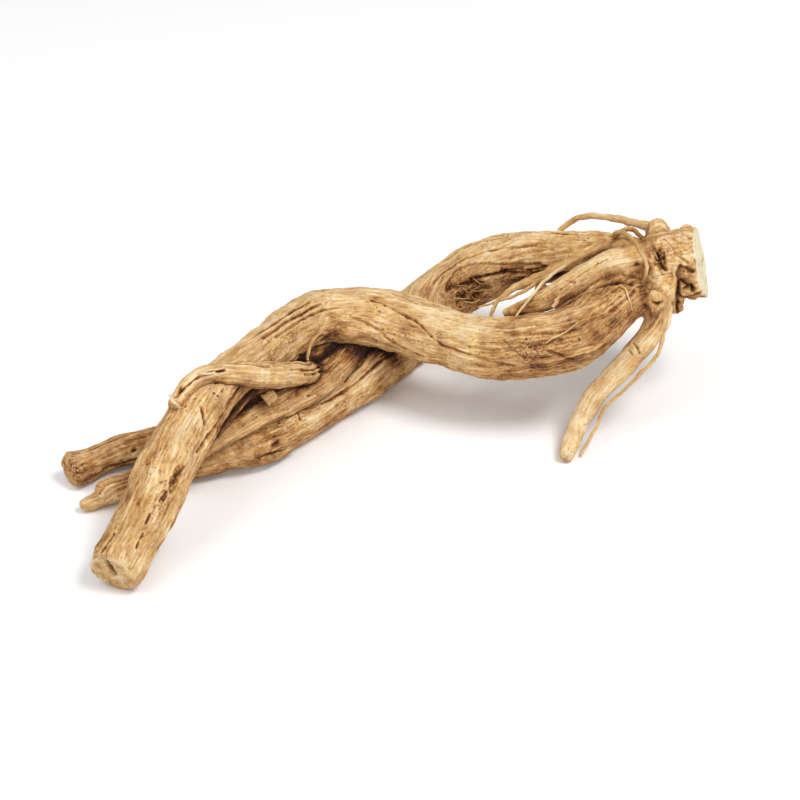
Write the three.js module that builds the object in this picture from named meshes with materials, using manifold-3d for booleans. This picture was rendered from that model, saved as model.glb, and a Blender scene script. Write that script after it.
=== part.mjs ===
// A dried tongkat ali root, grown as one piece: a knotty crown with two long legs that twist
// over each other, a few side roots and a few thin rootlets. It lies as it rests, on the plane
// z = 0, with the crown at +X held up by a short side root. Millimetres, +Z up.
import * as THREE from "three";
import { mergeVertices } from "three/addons/utils/BufferGeometryUtils.js";
import Module from "manifold-3d";

// Each root is a row of stations from the crown outwards: x, y, z, radius.
const CROWN = [
  [98.5, -23.5, 46, 8.8],
  [102, -25.5, 47, 12.5],
  [108, -29, 48, 13.6],
  [114, -33, 49.5, 13],
  [121, -38, 51, 12.6],
];
const OVER_LEG = [
  [97.8, -24.7, 41, 7.6],
  [83.9, -29.2, 43.2, 9.3],
  [61, -31, 38, 11.2],
  [42, -15.5, 31.5, 11.5],
  [31, 6, 29.5, 11],
  [20, 25, 30, 11],
  [-2, 33.5, 35, 9.6],
  [-33, 23.5, 36.5, 8.8],
  [-60, 14.5, 33.5, 8.7],
  [-82, 2, 26.5, 9.6],
  [-100, -9.5, 16, 9.2],
  [-114, -17, 8.8, 8.8],
  [-119, -20, 7.2, 7.8],
];
const UNDER_LEG = [
  [105, -22, 47, 8],
  [99, -2, 43.5, 9],
  [89, 13.5, 39, 10],
  [73, 32, 30.5, 12],
  [57, 41, 19, 11.6],
  [45, 40, 13, 11.2],
  [31, 34, 10.2, 10.6],
  [12, 27, 9.5, 10],
  [-8, 20.5, 8.2, 8.6],
  [-24, 17, 8, 8.6],
  [-44, 16, 9, 9.6],
  [-54, 17.5, 8.4, 7.6],
];
const LONG_FORK = [
  [-44, 17, 9, 7.6],
  [-58, 26, 8, 7],
  [-72, 36, 6.5, 5.8],
  [-89, 40.5, 5.3, 5.5],
  [-98, 39.5, 5.6, 5.8],
  [-104, 39, 6.2, 6.6],
];
const SHORT_FORK = [
  [-46, 12, 8.6, 7],
  [-59, 17, 7, 6.4],
  [-76, 20, 5.5, 4.8],
  [-96, 23, 4.3, 4.5],
  [-101, 23, 3.6, 3.4],
  [-108, 23.5, 2.9, 2.2],
];
const PROP_ROOT = [
  [95, -38, 45, 5],
  [89.5, -42, 37, 4.2],
  [80, -42, 27.5, 4],
  [68, -40.5, 18, 4],
  [59, -41.5, 10, 3.7],
  [51, -46, 4.4, 3.4],
  [45, -50, 2.3, 3],
];
const CLINGING_ROOT = [
  [6, 29.5, 32.5, 4.2],
  [-3, 23, 27, 4.2],
  [-11, 18.5, 25.8, 4.2],
  [-20, 14.5, 28.8, 4.4],
  [-31, 12.5, 33.2, 4.5],
  [-43, 11, 38.2, 4.2],
  [-55.7, 12.7, 43.2, 3.6],
  [-65, 13.7, 43.9, 3.1],
  [-77.3, 10, 38.8, 2.7],
];
const INNER_ROOT = [
  [-2, 24, 19, 4.5],
  [-14, 18.5, 20, 5.2],
  [-28, 14.5, 21, 5.4],
  [-42, 13, 21, 5.2],
  [-55, 12.5, 19, 4.6],
  [-66, 12, 15, 3.4],
  [-74, 13, 11, 2.4],
];
const INNER_STRAND = [
  [-26, 19, 26, 3.4],
  [-36, 17.5, 26.5, 3.8],
  [-46, 16.5, 26.5, 3.8],
  [-56, 15.5, 25, 3.2],
  [-66, 14, 21, 2.4],
];
const SHADED_ROOT = [
  [107, -3, 39, 4.8],
  [98, -0.5, 33, 4.4],
  [88, -0.8, 30.6, 4.2],
  [79, -1.4, 31.5, 3.7],
  [72.5, -1.2, 35, 3],
  [68.5, -4.2, 41, 2.4],
  [66, -8.5, 43, 2.2],
];
const HIDDEN_ROOTLET = [
  [4, 30, 25, 2.6],
  [-6, 26.5, 27, 3.2],
  [-13, 24, 28, 3.2],
  [-22, 22, 31, 2.8],
];
const FLAT_ROOT = [
  [98.4, -25.4, 54.2, 5.4],
  [86.8, -19.5, 52.4, 5.2],
  [78.3, -16.4, 49.3, 4.7],
  [71, -15, 46, 4.5],
  [61.5, -13.5, 43, 3.7],
  [47, -9.5, 41, 1.8],
];
const ARCHED_ROOTLET = [
  [112, -19, 58, 2.6],
  [108, -9, 57.4, 1.8],
  [105, 2, 55.8, 1.3],
  [101, 11.5, 53.2, 1.2],
  [93, 17, 46.5, 1],
];
const TRAILING_ROOTLET = [
  [105, -5, 52, 2],
  [96, -3.5, 50, 1.6],
  [79, -2, 46, 1.5],
  [62, 0, 43, 1.4],
  [53, 0.5, 40, 1.1],
  [44, -6, 36, 0.9],
];
const SLIVER_ROOTLET = [
  [79, -4, 47, 0.9],
  [63, -10.5, 48, 0.9],
  [47, -15.5, 42, 0.9],
];
const HANGING_ROOTLET = [
  [94, -43, 41, 1.6],
  [90, -48, 33, 1],
  [87, -46, 23, 0.9],
  [75, -40, 12, 0.8],
  [63, -44, 4.5, 0.8],
  [51, -51, 1.6, 0.8],
];
const BARK_STRIP = [
  [-42, 14, 33, 1.4],
  [-50, 10.5, 29.5, 1.3],
  [-61, 6, 26.5, 1.2],
  [-71, 3, 23.5, 1],
];
const COLLAR_STRAND = [
  [101, -7, 56, 1.4],
  [98, -17, 57, 1.4],
  [95, -26, 57, 1.4],
  [94, -31, 54.5, 1.4],
  [92.5, -32.5, 50.5, 1.2],
];

// Knots on the crown, its neck and the roots' joins: x, y, z, radius.
const KNOTS = [
  [111, -17, 57.5, 4.4],
  [116, -23, 54, 4.8],
  [97.5, -33, 50.5, 4.2],
  [99, -35.5, 46, 5.2],
  [96.5, -35.5, 41.5, 3.5],
  [103.5, -37.5, 38, 3],
  [109, -39.5, 45, 4.6],
  [114, -26, 41, 5],
  [118, -24, 47, 5],
  [50, -11, 41, 2.4],
  [-33, 20, 17, 2.6],
];

// The crown's end is sawn off here, facing this way.
const CUT_POINT = [117, -35, 50];
const CUT_FACING = [0.69, -0.67, 0.28];

const LEG_SIDES = 18;
const SIDE_ROOT_SIDES = 12;
const ROOTLET_SIDES = 6;
const RING_SPACING = 5.5;
const LOBE_DEPTH = 0.07; // how far a root's section swells and sinks, as a share of its radius
const BLOCK = 400; // larger than the root, for trimming it flat

const wasm = await Module();
wasm.setup();

// Only the positions are kept, so that the vertices along every seam merge.
function solidOf(geometry) {
  geometry.deleteAttribute("normal");
  geometry.deleteAttribute("uv");
  const merged = mergeVertices(geometry, 1e-4);
  return new wasm.Manifold(
    new wasm.Mesh({
      numProp: 3,
      vertProperties: merged.attributes.position.array,
      triVerts: new Uint32Array(merged.index.array),
    }),
  );
}

// A root's section is round with two or three shallow lobes that turn slowly along it.
function lobes(angle, along, phase) {
  const two = Math.sin(2 * angle + along / 23 + phase);
  const three = Math.sin(3 * angle - along / 17 + 2 * phase);
  return 1 + LOBE_DEPTH * (0.6 * two + 0.4 * three);
}

// A closed cylinder whose rings are set out along the curve through the stations.
function root(stations, sides, phase = 0) {
  const curve = new THREE.CatmullRomCurve3(
    stations.map(([x, y, z]) => new THREE.Vector3(x, y, z)),
  );
  const girth = new THREE.SplineCurve(
    stations.map(([, , , radius], i) => new THREE.Vector2(i, radius)),
  );
  const length = curve.getLength();
  const rings = Math.ceil(length / RING_SPACING);
  const { normals, binormals } = curve.computeFrenetFrames(rings, false);
  const tube = new THREE.CylinderGeometry(1, 1, 1, sides, rings);
  const position = tube.getAttribute("position");
  const p = new THREE.Vector3();
  for (let i = 0; i < position.count; i++) {
    p.fromBufferAttribute(position, i);
    const u = 0.5 - p.y;
    const ring = Math.round(u * rings);
    const radius = girth.getPoint(curve.getUtoTmapping(u)).y;
    const reach = radius * lobes(Math.atan2(p.z, p.x), u * length, phase);
    const { x: across, z: up } = p;
    p.copy(curve.getPointAt(u));
    p.addScaledVector(normals[ring], reach * across);
    p.addScaledVector(binormals[ring], reach * up);
    position.setXYZ(i, p.x, p.y, p.z);
  }
  return solidOf(tube);
}

function knot([x, y, z, radius]) {
  return solidOf(new THREE.SphereGeometry(radius, 12, 8).translate(x, y, z));
}

// A block that fills the space on the far side of a plane.
function blockBeyond(point, facing) {
  const turn = new THREE.Quaternion().setFromUnitVectors(
    new THREE.Vector3(0, 0, 1),
    facing.clone().normalize(),
  );
  const block = new THREE.BoxGeometry(BLOCK, BLOCK, BLOCK);
  block.translate(0, 0, BLOCK / 2).applyQuaternion(turn);
  return solidOf(block.translate(point.x, point.y, point.z));
}

const crown = [root(CROWN, LEG_SIDES, 0.5), ...KNOTS.map(knot)]
  .reduce((a, b) => a.add(b))
  .subtract(
    blockBeyond(new THREE.Vector3(...CUT_POINT), new THREE.Vector3(...CUT_FACING)),
  );
const roots = [
  root(OVER_LEG, LEG_SIDES, 1),
  root(UNDER_LEG, LEG_SIDES, 2),
  root(LONG_FORK, SIDE_ROOT_SIDES, 3),
  root(SHORT_FORK, SIDE_ROOT_SIDES, 4),
  root(PROP_ROOT, SIDE_ROOT_SIDES, 5),
  root(CLINGING_ROOT, SIDE_ROOT_SIDES, 6),
  root(INNER_ROOT, SIDE_ROOT_SIDES, 8),
  root(INNER_STRAND, SIDE_ROOT_SIDES, 9),
  root(SHADED_ROOT, SIDE_ROOT_SIDES, 10),
  root(HIDDEN_ROOTLET, ROOTLET_SIDES),
  root(FLAT_ROOT, SIDE_ROOT_SIDES, 7),
  root(ARCHED_ROOTLET, ROOTLET_SIDES),
  root(TRAILING_ROOTLET, ROOTLET_SIDES),
  root(SLIVER_ROOTLET, ROOTLET_SIDES),
  root(HANGING_ROOTLET, ROOTLET_SIDES),
  root(BARK_STRIP, ROOTLET_SIDES),
  root(COLLAR_STRAND, ROOTLET_SIDES),
];
const floorBlock = blockBeyond(new THREE.Vector3(), new THREE.Vector3(0, 0, -1));
const whole = roots.reduce((a, b) => a.add(b), crown).subtract(floorBlock);

// The origin is the middle of the root's box, on the plane that it rests on.
const { vertProperties, triVerts } = whole.getMesh();
const geometry = new THREE.BufferGeometry();
geometry.setAttribute("position", new THREE.BufferAttribute(vertProperties, 3));
geometry.setIndex(new THREE.BufferAttribute(triVerts, 1));
geometry.computeBoundingBox();
const middle = geometry.boundingBox.getCenter(new THREE.Vector3());
geometry.translate(-middle.x, -middle.y, 0);
geometry.computeVertexNormals();

const driedRoot = new THREE.Mesh(
  geometry,
  new THREE.MeshStandardMaterial({ color: 0xc49a64, roughness: 0.85, metalness: 0 }),
);
driedRoot.name = "tongkat_ali_root";

const group = new THREE.Group();
group.add(driedRoot);
export default group;
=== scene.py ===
import bpy
import numpy as np
from itertools import product
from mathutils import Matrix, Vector


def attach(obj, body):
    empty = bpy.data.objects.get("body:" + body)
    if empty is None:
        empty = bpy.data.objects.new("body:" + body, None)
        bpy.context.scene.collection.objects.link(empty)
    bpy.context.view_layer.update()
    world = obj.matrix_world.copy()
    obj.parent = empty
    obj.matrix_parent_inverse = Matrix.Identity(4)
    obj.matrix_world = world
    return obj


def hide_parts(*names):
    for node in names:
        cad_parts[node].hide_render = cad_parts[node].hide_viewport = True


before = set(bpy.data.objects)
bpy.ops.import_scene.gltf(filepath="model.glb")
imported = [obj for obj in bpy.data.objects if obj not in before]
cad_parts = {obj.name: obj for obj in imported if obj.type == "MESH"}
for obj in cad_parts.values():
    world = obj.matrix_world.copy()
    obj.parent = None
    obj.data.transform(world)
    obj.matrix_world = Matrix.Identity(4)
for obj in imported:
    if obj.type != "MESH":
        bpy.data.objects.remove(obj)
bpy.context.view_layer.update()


# The crown is the knotty head of the root: solid wood under thin, crumbly dry bark. Every limb
# grows out of it, and the stem that stood on it was sawn off. Sizes are in millimetres until a
# piece is finished.
MM = 0.001  # m
KNOTS = [  # x, y, z and radius
    (111, -17, 57.5, 4.4), (116, -23, 54, 4.8), (97.5, -33, 50.5, 4.2), (99, -35.5, 46, 5.2),
    (96.5, -35.5, 41.5, 3.5), (103.5, -37.5, 38, 3), (109, -39.5, 45, 4.6), (114, -26, 41, 5),
    (118, -24, 47, 5),
]
SAW_POINT = np.array([117, -35, 50.0])  # on the cut, which faces the next way
SAW_FACING = np.array([0.69, -0.67, 0.28]) / np.linalg.norm([0.69, -0.67, 0.28])
MIDDLE = np.array([1.26, 0.14, 0.0])  # the middle of the root's box, which is the origin
PARTS_OF_A_BEND = 24  # how many straight bits there are from one station to the next
FAR = 99.0  # mm, further than anything here reaches


def line_through(stations, spacing):
    """A smooth line through the stations, with a point every so many mm: x, y, z, radius."""
    rows = np.array(stations, float)
    rows = np.vstack([2 * rows[0] - rows[1], rows, 2 * rows[-1] - rows[-2]])
    rows[:, 3] = np.maximum(rows[:, 3], rows[1:-1, 3].min())
    share = np.linspace(0, 1, PARTS_OF_A_BEND + 1)[:-1, None]
    points = []
    for a, b, c, d in zip(rows, rows[1:], rows[2:], rows[3:]):
        ab, bc, cd = (
            np.linalg.norm((q - p)[:3]) ** 0.5 + 1e-4 for p, q in ((a, b), (b, c), (c, d))
        )
        leaving = ((b - a) / ab - (c - a) / (ab + bc) + (c - b) / bc) * bc
        arriving = ((c - b) / bc - (d - b) / (bc + cd) + (d - c) / cd) * bc
        leaving[3], arriving[3] = (c - a)[3] / 2, (d - b)[3] / 2
        points.append(
            b + leaving * share
            + (3 * (c - b) - 2 * leaving - arriving) * share ** 2
            + (2 * (b - c) + leaving + arriving) * share ** 3
        )
    dense = np.vstack(points + [rows[-2:-1]])
    gone = np.append(0, np.cumsum(np.linalg.norm(np.diff(dense[:, :3], axis=0), axis=1)))
    marks = np.linspace(0, gone[-1], round(gone[-1] / spacing) + 1)
    return np.stack([np.interp(marks, gone, dense[:, i]) for i in range(4)], axis=1)


def unit(vectors):
    """The same directions, each with a length of 1."""
    return vectors / np.linalg.norm(vectors, axis=-1, keepdims=True)


def tube(rings, ends):
    """Corners and faces of a closed tube through rings of points, with a point at each end."""
    count, sides = rings.shape[:2]
    corners = np.vstack([rings.reshape(-1, 3), *ends])
    ring = np.arange(count - 1)[:, None] * sides
    here, there = np.arange(sides), (np.arange(sides) + 1) % sides
    faces = np.stack([ring + here, ring + there, ring + sides + there, ring + sides + here], -1)
    faces = faces.reshape(-1, 4).tolist()
    first_end, last_ring = count * sides, (count - 1) * sides
    faces += [[first_end, int(j), int(i)] for i, j in zip(here, there)]
    faces += [[first_end + 1, last_ring + int(i), last_ring + int(j)] for i, j in zip(here, there)]
    return corners, faces


class Limb:
    """One limb of the root, through stations of x, y, z and radius from its thick end to its tip.
    A place on it is so many millimetres along from its thick end and so many degrees around from
    its top, to the right when looking along it."""

    def __init__(self, stations, blunt=1.0, spacing=1.0):
        self.line = line_through(stations, spacing)
        self.line[:, :3] -= MIDDLE
        self.length = np.linalg.norm(np.diff(self.line[:, :3], axis=0), axis=1).sum()
        self.step = self.length / (len(self.line) - 1)
        self.ahead = unit(np.gradient(self.line[:, :3], axis=0))
        self.up = unit(np.array([0, 0, 1.0]) - self.ahead * self.ahead[:, 2:])
        self.side = np.cross(self.ahead, self.up)
        self.blunt = blunt  # how far from the tip its edge starts to turn in
        self.furrows = []  # how deep, half its width (mm), then (mm along, degrees around) ...
        self.hollows = []  # mm along, degrees around, reach along, reach around, how deep
        self.worn = []  # the same four, then how worn
        self.rough = []  # the same four, then how rough
        self.stain_and_shade = []  # the same four, then how much darker: stains, and painted shade in places
        self.shrinking = (0.4, 0.3, 0.15, 0.1, 0.1)  # flutes, folds, lines, flakes, rings: mm
        self.clean = 0.0  # how much less painted shade its nooks get
        self.shade = 0.0  # painted shade: how much darker its colour is made for lying deep between the others

    def rings(self, sides, swell):
        """Rings of points round the limb, and the points at its two ends."""
        turn = np.arange(sides) * 2 * np.pi / sides
        along = np.arange(len(self.line)) * self.step
        past = np.clip((along - self.length + self.blunt) / self.blunt, 0, 0.97)
        radius = self.line[:, 3] * np.sqrt(1 - past ** 2 * 0.75)
        reach = radius[:, None] * swell(along[:, None], turn[None, :])
        rings = (
            self.line[:, None, :3]
            + (reach * np.cos(turn))[:, :, None] * self.up[:, None]
            + (reach * np.sin(turn))[:, :, None] * self.side[:, None]
        )
        return rings, (self.line[0, :3], self.line[-1, :3])

    def place(self, points):
        """For each point: mm along, (up, side) from the middle, radius, distance outside."""
        margin = self.line[:, 3].max() + 9  # mm; what is further off counts as far away
        low, high = self.line[:, :3].min(0) - margin, self.line[:, :3].max(0) + margin
        near = np.flatnonzero(((points > low) & (points < high)).all(1))
        along, across = np.zeros(len(points)), np.zeros((len(points), 2))
        radius, outside = np.ones(len(points)), np.full(len(points), FAR)
        some = points[near]
        mark = np.empty(len(near))
        batch = 20000  # points at a time, to spare memory
        for start in range(0, len(near), batch):
            part = some[start : start + batch]
            gap = (self.line[:, :3] ** 2).sum(1) - 2 * part @ self.line[:, :3].T
            mark[start : start + batch] = gap.argmin(1)
        last = len(self.line) - 1
        for _ in range(3):
            low = np.clip(mark.astype(int), 0, last - 1)
            part = (mark - low)[:, None]
            centre = self.line[low] * (1 - part) + self.line[low + 1] * part
            ahead = unit(self.ahead[low] * (1 - part) + self.ahead[low + 1] * part)
            off = some - centre[:, :3]
            slide = (off * ahead).sum(1) / self.step
            mark = np.clip(mark + np.clip(slide, -2, 2), 0, last)
        up = self.up[low] * (1 - part) + self.up[low + 1] * part
        side = self.side[low] * (1 - part) + self.side[low + 1] * part
        along[near] = mark * self.step
        across[near] = np.stack([(off * up).sum(1), (off * side).sum(1)], axis=1)
        radius[near] = centre[:, 3]
        outside[near] = np.linalg.norm(off, axis=1) - centre[:, 3]
        return along, across, radius, outside

    def spot(self, along, degrees, lift, *rest):
        """A station on the limb's skin at this place, raised by lift, then the rest as given."""
        i = min(int(round(along / self.step)), len(self.line) - 1)
        turn = np.radians(degrees)
        out = np.cos(turn) * self.up[i] + np.sin(turn) * self.side[i]
        return (*(self.line[i, :3] + (self.line[i, 3] + lift) * out + MIDDLE), *rest)


def bell(values, width=1.0):
    """1 where the value is 0, falling away over the width."""
    return np.exp(-(values / width) ** 2)


def turned(turn, place):
    """How far round from the place, both in radians, from half a turn one way to half the other."""
    return np.angle(np.exp(1j * (turn - place)))


def crown_swell(along, turn):
    """The crown's outline is a few fat lobes with gullies between them, deeper near the cut."""
    deep = np.clip((along - 6) / 14, 0, 1)
    gullies = sum(
        cut * bell(turned(turn, at), wide)
        for at, wide, cut in (
            (-2.5, 0.2, 0.22), (-1.35, 0.16, 0.2), (-0.3, 0.22, 0.16), (1.1, 0.25, 0.26),
            (2.4, 0.2, 0.2),
        )
    )
    neck = 0.16 * bell(along - 14, 1.3) * (0.5 + 0.5 * np.cos(turn - 2.2))
    return 1.03 + 0.04 * np.sin(3 * turn + along / 6) - 0.7 * deep * gullies - neck


crown = Limb([
    (98.5, -23.5, 46, 8.8), (102, -25.5, 47, 12.5), (108, -29, 48, 13.6), (114, -33, 49.5, 13),
    (124, -40, 52, 12.6),
])
crown.shrinking = (0.5, 0.35, 0.15, 0.2, 0.15)
crown.hollows = [(6.4, 40, 2.4, 26, 1.9)]
# The round knob is the stump of a rootlet that broke off: x, y, z.
KNOB = (92, -40, 45.9)
# Small lumps on the crown and round the knob: x, y, z and radius.
CROWN_LUMPS = [
    (103.9, -41.3, 53.1, 1.5), (104.9, -42.7, 49.7, 1.4), (105.9, -43, 46.2, 1.4),
    (101.6, -39.6, 51.6, 1.6), (102.2, -40.6, 47.6, 1.7), (103.4, -39.8, 41.6, 1.8),
    (104.4, -41.7, 44.4, 1.3), (103, -41.7, 49.7, 1.5), (103.7, -41.8, 45.8, 1.3),
    (106.7, -43.6, 51.2, 1.3), (*KNOB, 4.0), (90, -41.2, 43.8, 2.3), (94.6, -41.6, 44.4, 2.5),
    (90.6, -39.2, 49, 2.3), (96.3, -36, 40.6, 3.0), (108.5, -15.5, 53, 2.6), (104, -12, 51, 2.6),
    (119, -24, 58, 2.4), (116, -44, 42, 2.2), (112, -20, 41, 3), (118, -31, 37.5, 2.2),
    (124, -27, 50, 2.4), (121, -25, 44, 2.6), (106, -22, 38, 3),
]
# Gullies in the crumbly bark below the cut, and finer cracks across the crown's side.
crown.furrows = [
    (1.9, 0.8, [(14, 56), (13, 66), (12, 80), (11.4, 95), (11, 113), (11, 135)]),
    (1.3, 0.6, [(14, 56), (18.3, 67)]),
    (1.8, 0.8, [(12.5, 74), (16.6, 87), (17.2, 96)]),
    (1.2, 0.6, [(14, 90), (16.8, 92)]),
    (1.4, 0.7, [(11.4, 104), (15, 112), (20, 106)]),
    (1.0, 0.5, [(5, 12), (5.5, 28), (6, 44), (7.7, 58)]),
    (0.4, 0.4, [(9.3, 5), (12, 20), (13.5, 36), (17.1, 52)]),
    (0.4, 0.4, [(13, 0), (15, 14), (18.5, 22), (20, 38)]),
    (0.4, 0.4, [(17, -4), (20, 12)]),
    (0.6, 0.4, [(20, 50), (22, 66), (22.5, 84)]),
    (0.6, 0.4, [(17, 30), (20, 26), (23, 30)]),
    (1.4, 0.8, [(22, -60), (14, -56), (8, -50)]),
    (1.4, 0.8, [(23, -110), (14, -116), (8, -120)]),
    (1.2, 0.7, [(22, 160), (15, 168), (9, 174)]),
]
# Short slits, painted dark as shade, in the knob and at the flat root's thick end: half its width, how
# deep, points.
CROWN_SLITS = [
    (0.6, 1.3, [(88.2, -41.2, 47.4), (89.6, -43, 47), (91.8, -43.9, 47.6)]),
    (0.7, 1.4, [(93.3, -26.2, 56.3), (92.2, -28.2, 54.4), (89.7, -29.6, 53.5)]),
]
# Worn places on the crown, and brown places that are partly stains and partly painted shade: x, y, z,
# reach and how worn, or how brown.
CROWN_WORN = [
    (109, -30, 61.5, 5, 0.6), (97, -38, 48, 5, 1.2), (112, -42, 47, 5, 0.4),
    (91, -40, 46.5, 4, 0.7), (102, -41, 44, 5, 0.5),
]
CROWN_STAIN_AND_SHADE = [
    (95, -32, 55, 3, 0.6), (106, -37, 36, 5, 0.6), (104, -20, 60, 4, 0.3), (100, -30, 40, 6, 0.8),
    (98, -33, 57, 5, 0.6), (102.5, -40, 50, 2.6, 0.9), (103, -40, 44, 2.6, 0.8),
    (108, -34, 58, 4, 0.4),
]

# The upper leg is the longer of the two main roots: wood under dry bark that shrank into long
# folds. It grows from the crown, lies over the lower leg and comes down to the table beyond it,
# where it was broken off square.
LONG_CRACK = [(119, -20), (111, -27), (102, -35), (95, -40), (92, -46), (87, -62), (82, -72)]
upper_leg = Limb([
    (97.8, -24.7, 41, 7.6), (83.9, -29.2, 43.2, 9.3), (61, -31, 38, 11.2), (42, -15.5, 31.5, 11.5),
    (31, 6, 29.5, 11), (20, 25, 30, 11), (-2, 33.5, 35, 9.6), (-33, 23.5, 36.5, 8.8),
    (-60, 14.5, 33.5, 8.7), (-82, 2, 26.5, 9.6), (-100, -9.5, 16, 9.2), (-114, -17, 8.8, 8.8),
    (-119, -20, 7.2, 7.8), (-124, -23, 5.8, 7.8),
], blunt=1.6)
upper_leg.shrinking = (0.6, 0.28, 0.2, 0.15, 0.0)
upper_leg.furrows = [
    (0.25, 1.8, LONG_CRACK), (0.7, 0.4, LONG_CRACK), (0.6, 0.4, [(82, -72), (78, -72), (71, -75)]),
    (0.5, 0.7, [(71, -75), (64, -84), (58, -92)]),
    (1.8, 0.5, [(187.5, -73), (193.5, -84), (203, -91), (213, -81), (221.5, -72)]),
    (0.8, 0.5, [(110, 18), (104, 12), (99, 2)]),
    (1.1, 0.5, [(172, 3), (163, 0), (152, -6), (143, -8)]),
    (1.0, 0.5, [(170, -14), (160, -17), (151, -24), (140, -26)]),
    (0.8, 0.4, [(166, -30), (157, -34), (146, -40), (133, -42)]),
    (1.1, 0.5, [(207.5, -30), (209, -40), (211.5, -55)]),
    (0.8, 0.3, [(229, -56), (232, -53), (234, -54), (237, -49)]),
    (0.7, 0.3, [(231, -47), (234, -49), (236, -45)]),
    (0.7, 0.3, [(239, -45), (241, -42), (243, -40)]),
    (0.9, 0.3, [(244, -35), (246, -36)]),
    (0.9, 0.3, [(248, -36), (250.5, -37), (252, -38)]),
    (0.8, 0.3, [(255, -43), (258, -44), (261, -47)]),
    (1.8, 1.0, [(30.6, 47), (25.8, 45), (23, 29), (20.6, 15), (17.8, 4), (15, -7), (12.5, -22)]),
    (1.1, 0.6, [(259, 19), (263, 24), (267, 27)]),
    (0.3, 0.4, [(60, -44), (57.5, -61), (54, -77)]),
    (0.35, 0.4, [(48, -64), (45, -80), (41, -104)]),
    (0.45, 0.5, [(128, -62), (120, -70), (110, -82), (100, -95), (90, -104)]),
    (0.35, 0.6, [(60, -30), (50, -38), (38, -44), (25, -46), (14, -44)]),
    (0.8, 0.55, [(62, 30), (74, 24), (86, 33), (98, 45), (112, 50)]),
    (0.9, 0.6, [(180, 60), (195, 66), (210, 58), (228, 62), (246, 70)]),
    (0.8, 0.5, [(182, 105), (198, 112), (214, 104), (232, 110)]),
    (0.9, 0.6, [(20, 70), (38, 80), (58, 76), (74, 90)]),
    (0.8, 0.5, [(120, 150), (140, 160), (160, 150), (185, 158)]),
    (0.8, 0.5, [(200, -95), (216, -104), (236, -98), (256, -108)]),
]
upper_leg.worn = [
    (82, -28, 16, 30, 1.0), (120, 8, 22, 18, 0.8), (152, 20, 16, 16, 0.6),
    (222, -26, 16, 12, 0.8), (236, -22, 8, 10, 0.5), (262, -70, 8, 22, 0.5),
    (100, 60, 30, 14, 0.4), (30, 20, 16, 20, 0.4),
]
# Its brown patches are partly stains and partly painted shade: under the flat root at its neck, on its
# shaded side, and round the dark hole near its tip.
upper_leg.stain_and_shade = [
    (34, -60, 26, 40, 1.15), (8, -50, 12, 50, 0.9), (215, 45, 24, 26, 0.6), (20, 2, 12, 26, 1.5),
    (38, 24, 18, 22, 1.6), (48, -20, 16, 26, 0.3), (198, -112, 18, 20, 1.3), (192, -92, 8, 14, 1.4),
    (240, 22, 12, 26, 0.8), (254, 5, 14, 30, 0.6), (238, 30, 24, 30, 0.5), (180, -70, 14, 30, 0.4),
    (188, -78, 5, 12, 1.4), (138, -104, 14, 16, 1.0), (203, -88, 10, 8, 0.8),
    (46, -90, 20, 34, 0.9), (248, 60, 26, 22, 0.6), (250, -62, 14, 16, 0.5), (146, -50, 20, 12, 0.3),
]
upper_leg.hollows = [(234, -51, 6, 14, 0.9), (241, -43, 3, 9, 0.6)]
upper_leg.rough = [(165, -58, 9, 18, 1.0), (243, -46, 6, 9, 0.9), (54, -60, 10, 16, 0.7)]
# Its broken end, with the gap that the soft pith left when it dried.
TIP_POINT = np.array([-118.4, -19.6, 7.4])
TIP_FACING = np.array([-0.81, -0.55, -0.18]) / np.linalg.norm([-0.81, -0.55, -0.18])
TIP_PITH = [(-119.5, -19.6, 12.5), (-118.6, -20.1, 9.9), (-117.9, -20.3, 7.6)]

# The lower leg is wood under the same bark, which has come off below a ledge and in a hollow. It
# grows from the far side of the crown, loops down to the table and runs under the upper leg. Its
# end splits into two forks.
lower_leg = Limb([
    (105, -22, 47, 8), (99, -2, 43.5, 9), (89, 13.5, 39, 10), (73, 32, 30.5, 12),
    (57, 41, 19, 11.6), (45, 40, 13, 11.2), (31, 34, 10.2, 10.6), (12, 27, 9.5, 10),
    (-8, 20.5, 8.2, 8.6), (-24, 17, 8, 8.6), (-44, 16, 9, 9.6), (-54, 17.5, 8.4, 7.6),
])
lower_leg.shrinking = (0.6, 0.28, 0.2, 0.2, 0.0)
lower_leg.furrows = [
    (0.9, 1.2, [(84, -52), (79, -60), (74, -70), (70, -82), (67, -98)]),
    (1.0, 0.6, [(72, -66), (62, -78), (52, -86), (40, -100)]),
    (0.9, 0.5, [(66, -74), (54, -79), (44, -88)]),
    (0.8, 0.5, [(88, -20), (74, -24), (60, -30), (44, -34)]),
    (0.7, 0.5, [(80, 12), (66, 6), (48, 4), (30, -4)]),
    (1.4, 0.8, [(189.5, -80), (191.5, -84)]),
    (1.8, 0.7, [(203, -104), (198, -102), (193, -107), (187, -114)]),
    (1.0, 0.45, [(178.5, -5), (178, -28), (179, -48)]),
    (0.9, 0.4, [(181, -12), (181.5, -34)]),
    (0.9, 0.5, [(120, -50), (135, -44), (150, -48), (168, -40)]),
    (0.8, 0.5, [(140, -20), (152, -24), (162, -20)]),
    (0.8, 0.5, [(122, 60), (140, 70), (160, 62), (180, 70)]),
    (0.8, 0.5, [(60, 80), (80, 92), (104, 84), (120, 96)]),
]
lower_leg.hollows = [(75, -88, 9, 30, 1.8)]
lower_leg.worn = [
    (146, -64, 10, 8, 1.0), (168, -58, 12, 9, 0.9), (158, -30, 14, 14, 0.5),
    (50, -14, 30, 26, 0.6), (60, 30, 30, 22, 0.4),
]
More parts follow.
